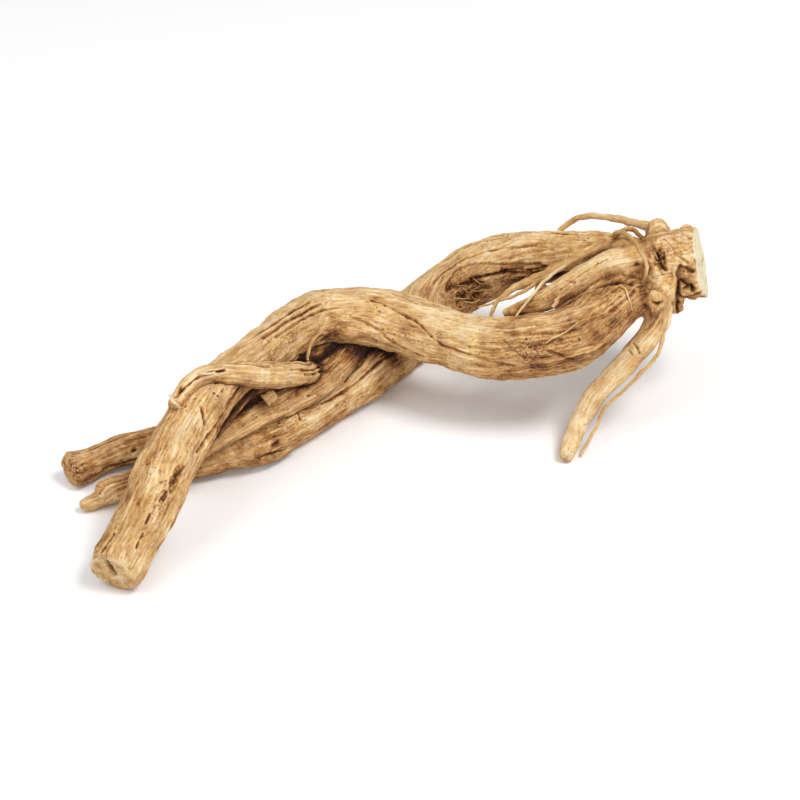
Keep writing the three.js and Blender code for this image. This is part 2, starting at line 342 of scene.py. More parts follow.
# Its brown patches are partly stains and partly painted shade, darkest as the shadow just under the
# upper leg where it crosses and on its shaded underside.
lower_leg.stain_and_shade = [
    (196, -100, 16, 10, 0.5), (100, -60, 160, 90, 0.34), (66, -70, 26, 50, 0.3),
    (206, -60, 18, 60, 0.6), (168, -20, 20, 30, 0.4), (137, 2, 8, 32, 1.9), (197, -60, 13, 34, 1.2),
    (44, -108, 17, 20, 1.4), (77, -94, 9, 22, 1.2), (130, -52, 7, 36, 1.5),
]
lower_leg.rough = [(75, -84, 10, 36, 1.0), (55, -88, 14, 18, 0.6), (186, -40, 8, 20, 0.5)]
# The outer bark stops at this edge, degrees around for mm along, and is missing below it.
LEDGE_ALONG = [36, 38, 42.5, 50, 58, 69.5, 76, 84, 87]
LEDGE_AROUND = [-96, -84, -71, -66, -60, -40, -32, -46, -60]
LEDGE_FOOT = -128  # degrees around, where the bark starts again
LEDGE_DEPTH = 0.4  # mm, how thick that bark is

long_fork = Limb([
    (-44, 17, 9, 7.6), (-58, 26, 8, 7), (-72, 36, 6.5, 5.8), (-89, 40.5, 5.3, 5.5),
    (-98, 39.5, 5.6, 5.8), (-104, 39, 6.2, 6.6),
], blunt=2.2)
long_fork.shrinking = (0.5, 0.3, 0.2, 0.12, 0.0)
long_fork.furrows = [
    (0.9, 0.55, [(41, -62), (42, -64)]),
    (0.4, 0.5, [(34, -20), (46, -28), (56, -38), (64, -42)]),
    (0.3, 0.5, [(30, -52), (44, -44), (58, -60), (66, -70)]),
    (0.4, 0.5, [(36, 12), (50, 4), (64, 14)]),
    (1.0, 0.7, [(28, 60), (46, 70), (62, 60)]),
    (0.5, 0.6, [(40, -100), (54, -96), (66, -110)]),
]
long_fork.stain_and_shade = [(50, 10, 40, 160, 0.8)]
long_fork.worn = [(62, -10, 8, 30, 0.5)]
long_fork.rough = [(66, -40, 4, 60, 0.7)]

short_fork = Limb([
    (-46, 12, 8.6, 7), (-59, 17, 7, 6.4), (-76, 20, 5.5, 4.9), (-97, 23, 4.4, 4.7),
    (-100.4, 22.6, 3.3, 3), (-104, 22.8, 3, 2.6), (-108, 23.5, 2.9, 2.2),
], blunt=1.8)
short_fork.shrinking = (0.5, 0.35, 0.2, 0.12, 0.0)
short_fork.furrows = [
    (0.5, 0.5, [(30, -20), (42, -26), (52, -14), (56, -12)]),
    (0.5, 0.5, [(32, 20), (44, 14), (54, 26)]),
    (0.35, 0.5, [(28, -64), (42, -56), (56, -66)]),
    (0.4, 0.5, [(34, -44), (46, -36), (54, -40)]),
    (0.8, 0.6, [(28, 80), (44, 90), (58, 84)]),
]
short_fork.worn = [(62, 0, 5, 40, 0.5)]
short_fork.stain_and_shade = [(38, -30, 18, 110, 0.7)]
short_fork.rough = [(54, 10, 3, 40, 0.8)]

# The prop root is a younger root with a smooth, pale skin that has ring marks. It grows from under
# the crown and stands on the table. The flat root, of the same kind, lies in the eye between the
# two legs.
prop_root = Limb([
    (95, -38, 45, 5), (89.5, -42, 37, 4.2), (80, -42, 27.5, 4), (68, -40.5, 18, 4),
    (59, -41.5, 10, 3.7), (51, -46, 4.4, 3.4), (45, -50, 2.3, 3),
], blunt=2.4)
prop_root.shrinking = (0.35, 0.2, 0.12, 0.0, 0.16)
prop_root.furrows = [
    (0.6, 0.4, [(19.5, 0), (20, -30), (21, -60)]), (0.5, 0.35, [(22.5, -4), (23, -40)]),
]
# Painted shade near its top, under the crown.
prop_root.stain_and_shade = [(9, -10, 7, 50, 1.0)]
prop_root.worn = [(17, -40, 8, 40, 0.7), (34, -30, 12, 60, 0.7), (56, -20, 14, 80, 0.8)]

flat_root = Limb([
    (98.4, -25.4, 54.2, 5.4), (86.8, -19.5, 52.4, 5.2), (78.3, -16.4, 49.3, 4.7), (71, -15, 46, 4.5),
    (61.5, -13.5, 43, 3.7), (47, -9.5, 41, 1.8),
], blunt=5)
flat_root.shrinking = (0.4, 0.16, 0.12, 0.0, 0.12)
flat_root.furrows = [
    (0.5, 0.35, [(28, -50), (30, -20)]), (0.4, 0.35, [(14, -30), (24, -34), (34, -40)]),
]
flat_root.worn = [(20, -20, 12, 40, 0.7)]
flat_root.stain_and_shade = [(48, -40, 14, 80, 0.8), (18, -155, 14, 26, 1.3)]
# The flat root's nooks get little of the painted nook shade.
flat_root.clean = 0.8

# The body is all of these grown together: one piece of wood under dry, shrunken, wrinkled bark.
# The limbs are fused where they grow from each other and only touch where they cross.
VOXEL = 0.45  # mm, how fine a fused skin is
FOLD_WIDTH, LINE_WIDTH, CHECK_WIDTH, RING_WIDTH = 0.22, 0.28, 0.18, 0.25  # of the noise's height
JOIN_REACH = 6  # mm, how far from both limbs the angle between them is filled
JOIN_ROUNDS, TIP_ROUNDS = 26, 14  # how often the skin is eased there, and at the broken tip
KNOB_REACH = 5  # mm, how far round the knob it isn't
BLEND = 0.8  # mm, over which the bark of one limb gives way to that of the next
LEAST_SHARE = 0.02  # a limb that has less than this share in a point is left out there
FELT = 2.5  # mm, over which their fibres do
FACE_DEPTH = 0.45  # mm, how near the cut a point is to be on its face
GRAIN_SHIFT = 60  # mm between the grain of one limb and that of the next, so that they differ
CELLS = 64  # how many units the noise runs before it repeats
slopes = unit(np.random.default_rng(5).normal(size=(CELLS, CELLS, CELLS, 3)))


def wander(places):
    """Smooth noise from about -1 to 1 that changes over one unit of length."""
    cell = np.floor(places).astype(int)
    part = places - cell
    fade = part ** 3 * (part * (part * 6 - 15) + 10)
    total = np.zeros(len(places))
    for corner in product((0, 1), repeat=3):
        slope = slopes[tuple(((cell + corner) & (CELLS - 1)).T)]
        share = np.prod(np.where(corner, fade, 1 - fade), axis=1)
        total += share * ((part - corner) * slope).sum(1)
    return total * 1.9  # which brings it to about -1 to 1


def smooth_step(values):
    """0 below 0 and 1 above 1, with a smooth rise between them."""
    part = np.clip(values, 0, 1)
    return part * part * (3 - 2 * part)


def ball(centre, radius):
    """Corners and faces of a closed ball."""
    rings, sides = 9, 16
    tilt = np.linspace(0, np.pi, rings + 2)[1:-1, None]
    turn = np.arange(sides)[None, :] * 2 * np.pi / sides
    corners, faces = tube(np.stack(np.broadcast_arrays(
        np.sin(tilt) * np.cos(turn), np.sin(tilt) * np.sin(turn), np.cos(tilt),
    ), -1), ((0, 0, 1), (0, 0, -1)))
    return corners * radius + centre, [[face[0], *face[:0:-1]] for face in faces]


def mesh_of(name, shapes):
    """One mesh that holds several closed shapes."""
    corners = np.vstack([c for c, _ in shapes])
    starts = np.cumsum([0] + [len(c) for c, _ in shapes])
    faces = [
        [int(start) + i for i in face] for (_, some), start in zip(shapes, starts) for face in some
    ]
    mesh = bpy.data.meshes.new(name)
    mesh.from_pydata(corners.tolist(), [], faces)
    mesh.update()
    return mesh


def in_scene(name, data):
    """A new object in the scene that holds this mesh, lamp or camera."""
    holder = bpy.data.objects.new(name, data)
    bpy.context.scene.collection.objects.link(holder)
    return holder


def standing(name, data, place, way, axis="-Z"):
    """The same, at this place and with its axis pointing this way."""
    holder = in_scene(name, data)
    holder.location = place
    holder.rotation_mode = "QUATERNION"
    holder.rotation_quaternion = Vector(way).to_track_quat(axis, "Y")
    return holder


def evaluated(name, mesh, *modifiers):
    """The mesh after these modifiers: each is a kind and its settings."""
    holder = in_scene(name, mesh)
    for kind, settings in modifiers:
        modifier = holder.modifiers.new(kind.lower(), kind)
        for setting, value in settings.items():
            setattr(modifier, setting, value)
    graph = bpy.context.evaluated_depsgraph_get()
    result = bpy.data.meshes.new_from_object(holder.evaluated_get(graph))
    bpy.data.objects.remove(holder)
    return result


def plain_swell(phase):
    """A limb's outline, a little out of round, in a way that turns as it goes along."""
    return lambda along, turn: 1 + 0.07 * (
        0.6 * np.sin(2 * turn + along / 23 + phase) + 0.4 * np.sin(3 * turn - along / 17 + 2 * phase)
    )


def read(items, field, size, kind=np.float32):
    """This field of all the items, with so many numbers to each."""
    values = np.empty(len(items) * size, kind)
    items.foreach_get(field, values)
    return values


def keep(mesh, name, values):
    """Stores a value for each point of the mesh, for the finish to use."""
    kind, field = ("FLOAT_VECTOR", "vector") if values.ndim == 2 else ("FLOAT", "value")
    layer = mesh.attributes.new(name, kind, "POINT")
    layer.data.foreach_set(field, values.astype(np.float32).ravel())


def as_piece(name, mesh, material):
    """The finished mesh as a piece of the root."""
    mesh.name = name
    mesh.polygons.foreach_set("use_smooth", [True] * len(mesh.polygons))
    mesh.materials.clear()
    mesh.materials.append(material)
    piece = in_scene(name, mesh)
    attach(piece, "root")
    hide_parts("tongkat_ali_root")


class Skin:
    """The skin of several closed shapes fused into one, after any saw cuts."""

    def __init__(self, name, shapes, saws=()):
        fuse = ("REMESH", {"mode": "VOXEL", "voxel_size": VOXEL})
        steps = [fuse]
        for saw in saws:
            cut = {"object": saw, "operation": "DIFFERENCE", "solver": "MANIFOLD"}
            steps += [("BOOLEAN", cut), fuse]
        self.mesh = evaluated(name, mesh_of(name, shapes), *steps)
        self.count = len(self.mesh.vertices)
        self.points = read(self.mesh.vertices, "co", 3).reshape(-1, 3).astype(float)
        ends = read(self.mesh.edges, "vertices", 2, np.int32)
        self.one_end, self.other_end = ends[::2], ends[1::2]
        self.links = np.bincount(ends, minlength=self.count)[:, None]

    def eased(self, values, rounds, share=0.5):
        """Each value drawn towards the mean of its neighbours on the skin, several times."""
        for _ in range(rounds):
            mean = np.stack([
                np.bincount(self.one_end, v[self.other_end], self.count)
                + np.bincount(self.other_end, v[self.one_end], self.count)
                for v in values.T
            ], axis=1) / self.links
            values = values + (mean - values) * share
        return values

    def facing(self, places):
        """Which way the skin faces at each point."""
        self.mesh.vertices.foreach_set("co", places.astype(np.float32).ravel())
        self.mesh.update()
        return read(self.mesh.vertex_normals, "vector", 3).reshape(-1, 3).astype(float)

    def piece(self, name, triangles, material):
        """The skin as a finished piece, in metres, with no more than so many triangles."""
        ratio = min(1.0, triangles / (2 * len(self.mesh.polygons)))
        mesh = evaluated(name, self.mesh, ("DECIMATE", {"ratio": ratio}))
        mesh.vertices.foreach_set("co", read(mesh.vertices, "co", 3) * np.float32(MM))
        mesh.update()
        as_piece(name, mesh, material)


def path_gap(points, path):
    """How far each point is from a path of straight lines."""
    gap = np.full(len(points), FAR)
    for start, end in zip(path, path[1:]):
        line = np.subtract(end, start)
        t = np.clip((points - start) @ line / (line @ line), 0, 1)
        gap = np.minimum(gap, np.linalg.norm(points - start - t[:, None] * line, axis=1))
    return gap


def limb_bark(k, limb, points, along, across, radius):
    """How high a limb's bark stands, its painted crack shade, wear, roughness, stains and painted
    shade.
    """
    turn = np.arctan2(across[:, 1], across[:, 0])
    # The folds wind slowly round the limb and sway, and on a thin limb they are finer.
    wound = turn + along / 160
    sway = np.stack([wander(points / 8 + 7), wander(points / 8 + 31)], axis=1)
    around = np.stack([np.cos(wound), np.sin(wound)], 1) * radius[:, None] + 1.3 * sway
    size = np.clip(radius / 9, 0.45, 1.1)

    def run(length, pitch, shift):
        """Noise that changes over so many mm along the limb and so many mm around it."""
        stretched = np.column_stack([along / length, around / (pitch * size[:, None])])
        return wander(stretched + shift + 9 * k)

    flute, fold, line, flake, ring = limb.shrinking
    flutes, folds, lines = run(60, 6.5, 0), run(24, 2.7, 17), run(12, 1.25, 29)
    strong = np.clip(0.75 + 0.7 * run(30, 9, 43), 0.25, 1.3)
    height = flute * flutes - fold * strong * bell(folds, FOLD_WIDTH)
    height += 0.3 * fold * folds - line * bell(lines, LINE_WIDTH)
    # Flakes are steps in the bark, with short cracks across them in places.
    steps = run(13, 4.2, 71) * 2.6
    level = np.floor(steps) + smooth_step((steps - np.floor(steps) - 0.4) / 0.2)
    checked = smooth_step(run(11, 8, 97) * 3 - 0.4) * bell(run(1.7, 5.5, 83), CHECK_WIDTH)
    height += flake * level - 0.8 * flake * checked
    if ring:
        rings = wander(np.column_stack([along / 1.6, around / 7]) + 61)
        height -= ring * bell(rings, RING_WIDTH)
    shallow = np.clip(radius / 8, 0.4, 1.1)
    height *= shallow * smooth_step(np.hypot(across[:, 0], across[:, 1]) / (0.7 * radius))
    crack_shade, worn, rough, stain_and_shade = np.zeros((4, len(along)))
    # A furrow wanders off its path, is deeper in places, has low lips and is painted darker as shade.
    unsteady = 0.35 * wander(points / 2.2 + 5)
    patchy = np.clip(0.85 + 0.7 * wander(points / 5 + 77), 0.25, 1.1)
    for deep, wide, path in limb.furrows:
        gap = np.full(len(along), FAR)
        for (a0, d0), (a1, d1) in zip(path, path[1:]):
            y = turned(turn, np.radians((d0 + d1) / 2)) * radius
            y0, dy = np.radians((d0 - d1) / 2) * radius, np.radians(d1 - d0) * radius
            x, dx = along - a0, a1 - a0
            t = np.clip((x * dx + (y - y0) * dy) / (dx * dx + dy * dy + 1e-9), 0, 1)
            gap = np.minimum(gap, np.hypot(x - t * dx, y - y0 - t * dy))
        gap = np.abs(gap + unsteady)
        cut = bell(gap, wide) * patchy
        lip = bell(gap - 2.2 * wide, 1.2 * wide)
        height += 0.2 * min(deep, 1) * lip - deep * cut
        crack_shade = np.maximum(crack_shade, cut * min(1, 0.8 * deep))
    for a, d, reach, spread, deep in limb.hollows:
        y = np.degrees(turned(turn, np.radians(d)))
        bowl = 1 - np.hypot((along - a) / reach, y / spread) + unsteady * 0.5
        bowl = smooth_step(bowl / 0.35)
        height -= deep * bowl * (0.8 + 0.5 * wander(points / 1.4 + 11))
        # The hollow's floor is painted darker in blotches, as shade.
        crack_shade = np.maximum(crack_shade, bowl * (0.12 + 0.4 * smooth_step(wander(points / 2.2 + 31) * 2)))
        rough = np.maximum(rough, bowl)
    for marks, kept in ((limb.worn, worn), (limb.rough, rough), (limb.stain_and_shade, stain_and_shade)):
        for a, d, reach, spread, amount in marks:
            y = np.degrees(turned(turn, np.radians(d)))
            patch = np.exp(-((along - a) / reach) ** 2 - (y / spread) ** 2)
            np.maximum(kept, amount * patch, out=kept)
    if limb is lower_leg:
        edge = np.interp(along, LEDGE_ALONG, LEDGE_AROUND)
        below = (edge - np.degrees(turn)) * radius * np.pi / 180 + unsteady
        bare = smooth_step(below / 0.6) * smooth_step((np.degrees(turn) - LEDGE_FOOT) / 24)
        first, last = LEDGE_ALONG[0], LEDGE_ALONG[-1]
        bare *= smooth_step((along - first) / 3) * smooth_step((last - along) / 3)
        height -= LEDGE_DEPTH * bare
        # The bare wood below the edge is painted a little darker, with a painted shadow line under the
        # edge.
        crack_shade = np.maximum(crack_shade, 0.12 * bare + 0.45 * bell(below - 0.5, 0.5) * bare)
        worn = np.maximum(worn, 0.6 * bell(below + 0.9, 0.9) * (bare < 0.5))
    return height, crack_shade, worn, rough, stain_and_shade


def weathered(skin, limbs, joins, lumps=(), beside=()):
    """Shrinks and wrinkles the skin of these limbs and keeps what its finish needs to know: joins
    are pairs that have grown together, lumps are balls on a limb, beside are limbs close by."""
    points = skin.points

    def far_from(place):
        """How far each point is from this place."""
        return np.linalg.norm(points - (np.array(place) - MIDDLE), axis=1)

    outside = np.stack([limb.place(points)[3] for limb in limbs])
    for limb, *place, radius in lumps:
        own = outside[limbs.index(limb)]
        np.minimum(own, far_from(place) - radius, out=own)
    # Where limbs have grown together, the angle between them is filled and rounded, but not at the
    # saw cut or round the knob. The broken tip is rounded too.
    join = np.zeros(skin.count)
    for one, other in joins:
        gap = np.maximum(outside[limbs.index(one)], outside[limbs.index(other)])
        join = np.maximum(join, np.clip(1 - gap / JOIN_REACH, 0, 1))
    from_cut = (points - (SAW_POINT - MIDDLE)) @ SAW_FACING
    from_tip = (points - (TIP_POINT - MIDDLE)) @ TIP_FACING
    join *= np.clip(-from_cut / 2 - 0.3, 0, 1)
    join *= 1 - np.exp(-(far_from(KNOB) / KNOB_REACH) ** 4)
    points = skin.eased(points, JOIN_ROUNDS, np.clip(join[:, None] * 1.2, 0, 0.6))
    points = skin.eased(points, TIP_ROUNDS, np.clip(2.5 + from_tip, 0, 1)[:, None] * 0.5)

    # Each limb's bark, by how near the point is to that limb, on top of a slow unevenness.
    normals = skin.facing(points)
    placed = [limb.place(points) for limb in limbs]
    in_order = np.sort(np.vstack([outside, np.full((1, skin.count), FAR)]), axis=0)
    nearest = outside.argmin(0)
    weave = smooth_step((in_order[1] - in_order[0]) / FELT)
    share = np.exp(-(outside - outside.min(0)) / BLEND)
    share /= share.sum(0)
    height = 0.45 * wander(points / 11) + 0.3 * wander(points / 5.5 + 40)
    marks = np.zeros((4, skin.count))
    for k, limb in enumerate(limbs):
        mine = np.flatnonzero(share[k] > LEAST_SHARE)
        if len(mine):
            along, across, radius, _ = (values[mine] for values in placed[k])
            own, *found = limb_bark(k, limb, points[mine], along, across, radius)
            height[mine] += own * share[k, mine]
            marks[:, mine] = np.maximum(marks[:, mine], np.array(found) * share[k, mine])
    crack_shade, worn, rough, stain_and_shade = marks
    # Rough places are pitted, and specks of bark are missing here and there, painted dark as shade.
    pits = np.abs(wander(points / 1.3 + 70))
    height += rough * (0.3 - bell(pits, 0.25) - 0.4 * pits)
    specks = smooth_step((wander(points / 1.1 + 15) + 0.5 * wander(points / 9 + 51) - 0.9) / 0.25)
    height -= 0.4 * specks
    crack_shade = np.maximum(crack_shade, 0.7 * specks)
    cut_face = np.zeros(skin.count)
    if crown in limbs:
        # The broken tip with its pith, then the gnarled crown with its saw cut and its marks.
        broken = np.clip(2.4 + 2 * from_tip, 0, 1) * smooth_step((normals @ TIP_FACING - 0.5) / 0.3)
        height *= 1 - 0.8 * broken
        # The gap that the pith left is cut in and painted dark as shade.
        pith = path_gap(points, np.array(TIP_PITH) - MIDDLE) + 0.5 * wander(points / 1.5 + 9)
        pith = bell(np.clip(pith, 0, None))
        height -= 1.2 * pith
        crack_shade = np.maximum(crack_shade, 0.75 * pith)
        knotty = np.exp(-np.clip(outside[0], 0, None) / 1.5)
        gnarl = np.abs(wander(points / 3.2 + 3)) * 1.1 + 0.5 * np.abs(wander(points / 1.5 + 13))
        height += 0.45 * knotty * (gnarl - 0.5)
        cut_face = np.clip(1 - np.abs(from_cut) / FACE_DEPTH, 0, 1) * (normals @ SAW_FACING > 0.7)
        cut_face = np.clip(cut_face * 3, 0, 1)
        for spots, kept in ((CROWN_WORN, worn), (CROWN_STAIN_AND_SHADE, stain_and_shade)):
            for *place, reach, amount in spots:
                np.maximum(kept, amount * bell(far_from(place), reach), out=kept)
        for wide, deep, path in CROWN_SLITS:
            gap = path_gap(points, np.array(path) - MIDDLE) + 0.2 * wander(points / 2 + 23)
            cut = bell(np.clip(gap, 0, None), wide)
            height -= deep * cut
            crack_shade = np.maximum(crack_shade, cut)
        height *= 1 - 0.93 * cut_face
        cut_face = np.maximum(cut_face, broken * (0.16 + 0.4 * wander(points / 2.5 + 55)))
    # Nothing stands past the saw cut, and nothing is lower than the table.
    points = points + normals * height[:, None]
    if crown in limbs:
        past_cut = (points - (SAW_POINT - MIDDLE)) @ SAW_FACING
        points -= np.outer(np.clip(past_cut - 0.03, 0, None), SAW_FACING)
    points[:, 2] = np.maximum(points[:, 2], 0)
    # Creases are where the skin lies lower than what is round it, close by and further off; the colour
    # is painted darker there as shade and lighter where it stands proud.
    normals = skin.facing(points)
    small = ((skin.eased(points, 5) - points) * normals).sum(1)
    large = ((skin.eased(points, 40) - points) * normals).sum(1)
    crease_shade = np.clip(small / 0.12, -1, 1) * 0.6 + np.clip(large / 0.5, -1, 1) * 0.4
    grain = np.zeros((skin.count, 3))
    for k in range(len(limbs)):
        mine = nearest == k
        grain[mine] = np.column_stack([placed[k][0], placed[k][1]])[mine] + (GRAIN_SHIFT * k, 0, 0)
    # Painted shade: undersides, nooks between limbs and limbs that lie deep are made darker, on top of
    # the stains.
    clean = 1 - sum(limb.clean * part for limb, part in zip(limbs, share))
    nook_shade = 1.5 * clean * np.exp(-np.clip(in_order[1], 0, None) / 2) * (1 - join)
    for limb in beside:
        nook_shade = np.maximum(nook_shade, np.exp(-np.clip(limb.place(points)[3], 0, None) / 1.2))
    shade = sum(limb.shade * part for limb, part in zip(limbs, share))
    broad = skin.facing(skin.eased(points, 25))
    skin.facing(points)
    total_shade_and_stain = 0.8 * smooth_step(0.3 - 0.75 * broad[:, 2]) + shade + 1.2 * nook_shade + stain_and_shade
    # Where painted shade and stains add up to much, the skin is painted near black as in a crack.
    crack_shade = np.maximum(crack_shade, 0.8 * smooth_step((total_shade_and_stain - 1.5) / 0.5))
    for name, values in (
        ("grain", grain), ("weave", weave), ("crease_shade", crease_shade), ("worn", worn), ("rough", rough),
        ("sawn", cut_face), ("total_shade_and_stain", np.clip(total_shade_and_stain, 0, 2)), ("crack_shade", crack_shade),
    ):
        keep(skin.mesh, name, values)


def node(tree, kind, inputs=None, **settings):
    """Adds a shader node; each input is a value, or the output that it is linked to."""
    made = tree.nodes.new("ShaderNode" + kind)
    for name, value in settings.items():
        setattr(made, name, value)
    for key, value in (inputs or {}).items():
        if isinstance(value, bpy.types.NodeSocket):
            tree.links.new(value, made.inputs[key])
        else:
            made.inputs[key].default_value = value
    return made


def maths(tree, operation, one, two=0.0, three=0.0):
    """One sum, of values or of outputs."""
    return node(tree, "Math", {0: one, 1: two, 2: three}, operation=operation).outputs[0]


def total(tree, start, *terms):
    """A starting value plus each of these (output, weight) pairs."""
    for output, weight in terms:
        start = maths(tree, "MULTIPLY_ADD", output, weight, start)
    return start


def between(tree, value, low, high, to_low=0.0, to_high=1.0):
    """The value from low to high, as a share from to_low to to_high."""
    inputs = {"Value": value, "From Min": low, "From Max": high, "To Min": to_low, "To Max": to_high}
    return node(tree, "MapRange", inputs).outputs["Result"]


def graded(tree, value, stops):
    """The colour for a value, from (value, colour) stops."""
    ramp = node(tree, "ValToRGB", {0: value})
    while len(ramp.color_ramp.elements) < len(stops):
        ramp.color_ramp.elements.new(0.5)
    for element, (place, colour) in zip(ramp.color_ramp.elements, stops):
        element.position = place
        element.color = (*colour, 1)
    return ramp.outputs["Color"]


def mixed(tree, share, one, other):
    """The first colour or value where share is 0, the other where it is 1."""
    return node(tree, "Mix", {0: share, 6: one, 7: other}, data_type="RGBA").outputs[2]


def effect(name, takes, gives):
    """A node group with these inputs and outputs, each a name and a kind."""
    tree = bpy.data.node_groups.new(name, "ShaderNodeTree")
    for side, sockets in (("INPUT", takes), ("OUTPUT", gives)):
        for socket, kind in sockets.items():
            tree.interface.new_socket(name=socket, in_out=side, socket_type="NodeSocket" + kind)
    return tree, tree.nodes.new("NodeGroupInput").outputs, tree.nodes.new("NodeGroupOutput").inputs


def noise(tree, place, scale, detail=3.0, roughness=0.55, distortion=0.0):
    """Cloudy noise from 0 to 1, mostly near 0.5, with so many clouds to a unit."""
    inputs = {
        "Vector": place, "Scale": scale, "Detail": detail, "Roughness": roughness,
        "Distortion": distortion,
    }
    return node(tree, "TexNoise", inputs).outputs["Fac"]


# Fibres run along every limb. Where two limbs meet they fade into a felt with no direction.
fibres, taken, given = effect(
    "dry_fibres",
    {"Grain": "Vector", "Spot": "Vector", "Weave": "Float", "Along": "Float", "Across": "Float"},
    {"Streak": "Float", "Line": "Float"},
)
parts = node(fibres, "SeparateXYZ", {0: taken["Grain"]}).outputs
stretched = node(fibres, "CombineXYZ", {
    0: maths(fibres, "MULTIPLY", parts[0], taken["Along"]),
    1: maths(fibres, "MULTIPLY", parts[1], taken["Across"]),
    2: maths(fibres, "MULTIPLY", parts[2], taken["Across"]),
}).outputs[0]
lengthwise = noise(fibres, stretched, 1.0, 4.0, 0.62, 0.35)
felted = noise(fibres, taken["Spot"], maths(fibres, "MULTIPLY", taken["Across"], 0.6), 4.0, 0.62)
streak = total(fibres, felted, (maths(fibres, "SUBTRACT", lengthwise, felted), taken["Weave"]))
from_middle = maths(fibres, "ABSOLUTE", maths(fibres, "SUBTRACT", streak, 0.5))
fibres.links.new(streak, given["Streak"])
fibres.links.new(between(fibres, from_middle, 0.0, 0.03, 1.0, 0.0), given["Line"])

# Dry skin: near black where shade is painted into the cracks, then brown, straw and cream on whatever
# stands proud.
skin_colour, taken, given = effect(
    "dry_skin_colour", {"Light": "Float", "Warmth": "Float"}, {"Color": "Color"},
)
plain = graded(skin_colour, taken["Light"], [
    (0.0, (0.022, 0.009, 0.004)), (0.2, (0.15, 0.062, 0.022)), (0.4, (0.37, 0.185, 0.073)),
    (0.6, (0.57, 0.34, 0.16)), (0.8, (0.74, 0.51, 0.27)), (1.0, (0.86, 0.68, 0.44)),
])
golden = graded(skin_colour, taken["Light"], [
    (0.0, (0.022, 0.008, 0.003)), (0.2, (0.17, 0.062, 0.016)), (0.4, (0.41, 0.185, 0.052)),
    (0.6, (0.62, 0.345, 0.115)), (0.8, (0.78, 0.51, 0.21)), (1.0, (0.87, 0.67, 0.38)),
])
skin_colour.links.new(mixed(skin_colour, taken["Warmth"], plain, golden), given["Color"])

# Sawn wood: cream, with growth rings, open pores and stains.
sawn_wood, taken, given = effect(
    "sawn_wood", {"Grain": "Vector", "Spot": "Vector"}, {"Color": "Color", "Height": "Float"},
)
parts = node(sawn_wood, "SeparateXYZ", {0: taken["Grain"]}).outputs
flat = node(sawn_wood, "CombineXYZ", {1: parts[1], 2: parts[2]}).outputs[0]
reach = node(sawn_wood, "VectorMath", {0: flat}, operation="LENGTH").outputs["Value"]
wavy = total(sawn_wood, reach, (noise(sawn_wood, taken["Spot"], 0.3, 2.0), 3.0))
ring = maths(sawn_wood, "SINE", maths(sawn_wood, "MULTIPLY", wavy, 5.0))
pores = between(sawn_wood, noise(sawn_wood, taken["Spot"], 3.0, 2.0), 0.36, 0.46)
stain = between(sawn_wood, noise(sawn_wood, taken["Spot"], 0.22, 3.0), 0.5, 0.68)
cream = total(sawn_wood, 0.76, (ring, 0.05), (pores, 0.2), (stain, -0.22))
sawn_colour = graded(sawn_wood, cream, [
    (0.0, (0.22, 0.12, 0.05)), (0.4, (0.52, 0.34, 0.15)), (0.7, (0.8, 0.63, 0.38)),
    (1.0, (0.93, 0.83, 0.6)),
])
sawn_wood.links.new(sawn_colour, given["Color"])
sawn_wood.links.new(total(sawn_wood, 0.3, (ring, 0.1), (pores, 0.5)), given["Height"])


